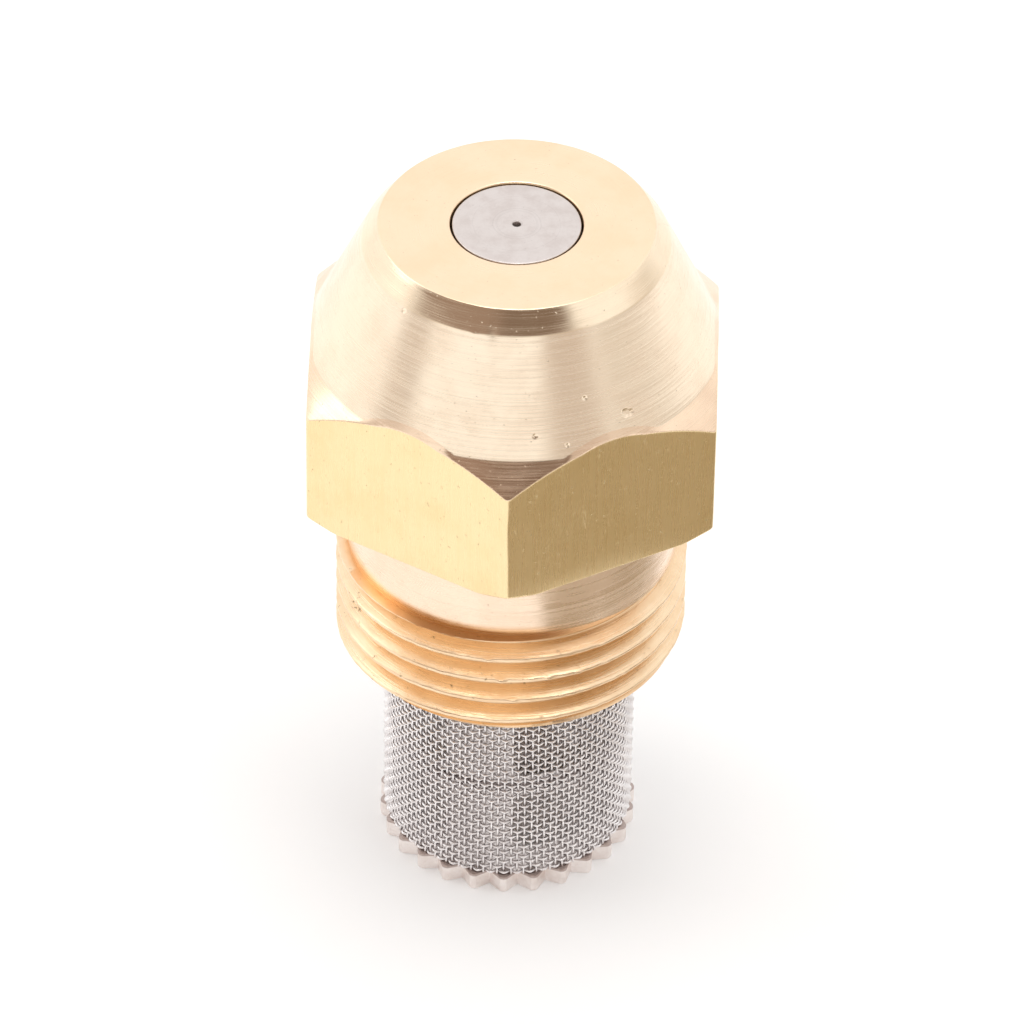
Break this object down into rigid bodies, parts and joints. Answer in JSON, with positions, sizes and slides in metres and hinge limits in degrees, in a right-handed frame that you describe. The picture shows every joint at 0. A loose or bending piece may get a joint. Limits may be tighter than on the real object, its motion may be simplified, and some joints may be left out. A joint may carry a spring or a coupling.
{
  "type": "oil burner nozzle",
  "caption": "Screw-in pressure atomising nozzle for a burner: hexagonal brass body with a steel orifice disc and a hand-removable mesh strainer.",
  "frame": {"origin": "centre of the strainer end cap's underside, on the surface the nozzle stands on", "axes": "+Z along the nozzle's axis towards the spray face; a corner of the hexagon points to -Y; X is across two opposite flats"},
  "size_m": [0.016, 0.0184, 0.0305],
  "materials": {
    "body_brass": "turned and drawn bar, bright",
    "inner_brass": "turned",
    "disc_steel": "fine turned stainless",
    "cage_steel": "satin nickel-plated",
    "mesh_steel": "woven stainless wire"
  },
  "bodies": {
    "nozzle": {"nozzle_body": "body_brass"},
    "swirl_stack": {"orifice_disc": "disc_steel", "swirl_distributor": "disc_steel"},
    "lock": {"lock_screw": "inner_brass"},
    "mesh_sleeve": {"strainer_mesh": "mesh_steel"},
    "strainer": {"strainer_collar": "inner_brass", "strainer_cage": "cage_steel", "strainer_end_cap": "cage_steel"}
  },
  "joints": [
    {"name": "lock_advance", "type": "slide", "parent": "nozzle", "child": "swirl_stack", "axis": [0, 0, -1], "range_m": [0, 0.003]},
    {"name": "lock_turn", "type": "hinge", "parent": "swirl_stack", "child": "lock", "pos_m": [0, 0, 0.022], "axis": [0, 0, -1], "range_deg": [0, 1440]},
    {"name": "strainer_advance", "type": "slide", "parent": "nozzle", "child": "mesh_sleeve", "axis": [0, 0, -1], "range_m": [0, 0.00337]},
    {"name": "strainer_turn", "type": "hinge", "parent": "mesh_sleeve", "child": "strainer", "pos_m": [0, 0, 0.005], "axis": [0, 0, -1], "range_deg": [0, 1620]}
  ],
  "couplings": [
    {"joint": "lock_turn", "follows": "lock_advance", "rad_per_m": 8377.6},
    {"joint": "strainer_turn", "follows": "strainer_advance", "rad_per_m": 8377.6}
  ]
}
